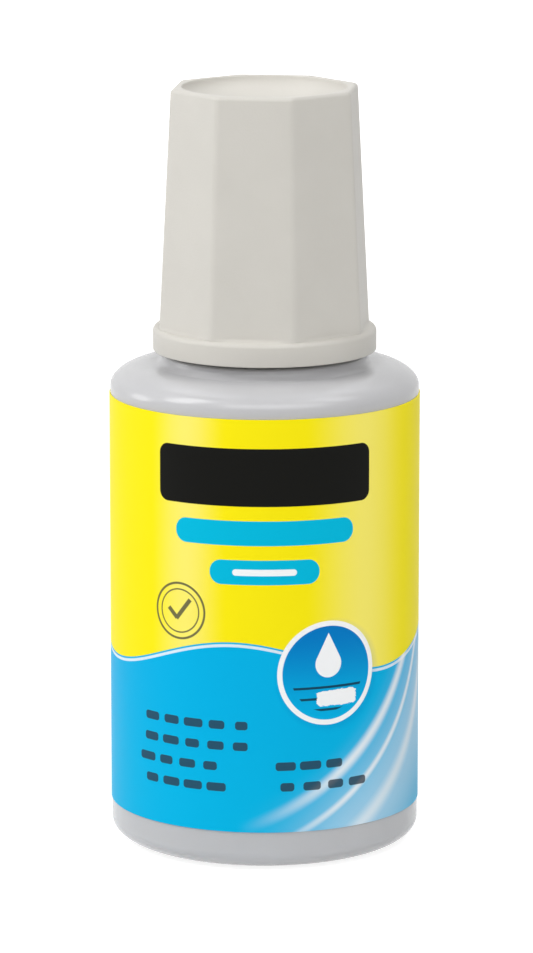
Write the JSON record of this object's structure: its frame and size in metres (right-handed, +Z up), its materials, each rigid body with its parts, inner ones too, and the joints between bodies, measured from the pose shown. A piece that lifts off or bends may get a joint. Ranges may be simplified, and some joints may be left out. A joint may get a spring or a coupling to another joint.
{
  "type": "correction fluid bottle",
  "caption": "Small round bottle of white correction fluid with a wrapped label and an eight-sided screw cap that carries the brush.",
  "frame": {"origin": "Middle of the ring that the bottle stands on, at table height, on the axis of the body and cap.", "axes": "+Z runs up the axis through the cap, -Y faces the front of the label, +X is to the right of someone looking at the front."},
  "size_m": [0.0302, 0.0303, 0.0742],
  "materials": {
    "bottle_plastic": "satin",
    "label_film": "satin",
    "cap_plastic": "satin",
    "liner_foam": "matte",
    "wiper_plastic": "satin",
    "stem_plastic": "satin",
    "bristle_nylon": "satin",
    "anchor_steel": "satin",
    "ball_steel": "polished",
    "fluid_white": "gloss"
  },
  "bodies": {
    "bottle": {"bottle": "bottle_plastic", "label": "label_film", "wiper_insert": "wiper_plastic", "mixing_ball": "ball_steel", "correction_fluid": "fluid_white"},
    "liner": {"cap_liner": "liner_foam"},
    "brush": {"brush_stem": "stem_plastic", "bristles": "bristle_nylon", "tuft_anchor": "anchor_steel"},
    "cap": {"cap": "cap_plastic"}
  },
  "joints": [
    {"name": "cap_lift", "type": "slide", "parent": "bottle", "child": "liner", "axis": [0, 0, 1], "range_m": [0, 0.065]},
    {"name": "cap_rise", "type": "slide", "parent": "liner", "child": "brush", "axis": [0, 0, 1], "range_m": [0, 0.0045]},
    {"name": "cap_turn", "type": "hinge", "parent": "brush", "child": "cap", "pos_m": [0, 0, 0.0486], "axis": [0, 0, 1], "range_deg": [0, 540]}
  ],
  "couplings": [
    {"joint": "cap_turn", "follows": "cap_rise", "rad_per_m": 2094.4}
  ]
}
